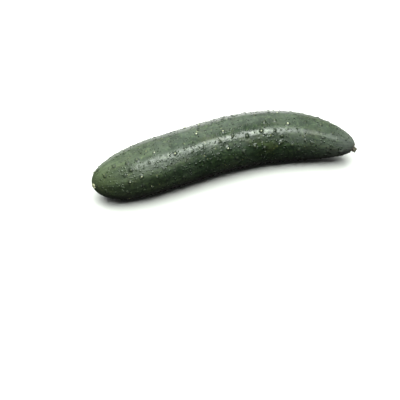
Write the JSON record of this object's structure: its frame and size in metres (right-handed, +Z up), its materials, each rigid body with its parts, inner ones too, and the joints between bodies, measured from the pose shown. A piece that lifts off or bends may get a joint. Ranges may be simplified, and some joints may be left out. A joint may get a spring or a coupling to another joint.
{
  "type": "cucumber",
  "caption": "Whole slicing cucumber with a gentle bend, warty green skin, blossom scar and dried stem stub, lying on its side as picked",
  "frame": {"origin": "on the resting plane, under the middle of the whole object's box", "axes": "+X from the blossom end to the stem end, +Y towards the bulging side of the bend, +Z up from the surface it lies on"},
  "size_m": [0.2344, 0.0677, 0.0471],
  "materials": {
    "skin": "satin waxy dark green skin with paler streaks and mottling, cream tubercle tips, yellow-green at the blossom end",
    "stalk": "dried fibrous stalk, matt, brown at its cut edge"
  },
  "bodies": {
    "root": {"cucumber_fruit": "skin", "stem_stub": "stalk"}
  },
  "joints": []
}
